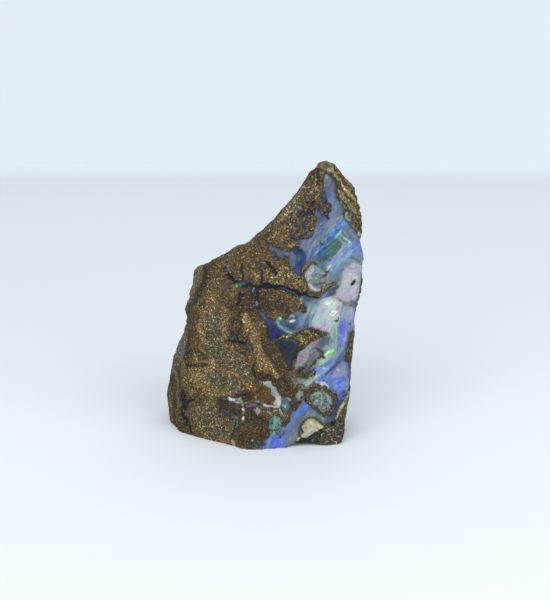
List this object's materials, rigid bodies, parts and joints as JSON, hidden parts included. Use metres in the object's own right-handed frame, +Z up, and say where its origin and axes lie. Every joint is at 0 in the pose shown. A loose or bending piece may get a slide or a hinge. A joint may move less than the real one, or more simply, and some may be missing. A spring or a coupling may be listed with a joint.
{
  "type": "rough boulder opal",
  "caption": "Rough wedge of boulder opal: brown ironstone split along a seam of blue precious opal, sawn flat underneath so that it stands.",
  "frame": {"origin": "middle of the stone's footprint, on the sawn base it stands on", "axes": "+Z up along the standing stone, -Y out of the face that shows the opal, +X to that face's right"},
  "size_m": [0.0422, 0.0242, 0.0602],
  "materials": {
    "ironstone": "rough broken sandy ironstone with glossy opal"
  },
  "bodies": {
    "root": {"boulder_opal": "ironstone"}
  },
  "joints": []
}
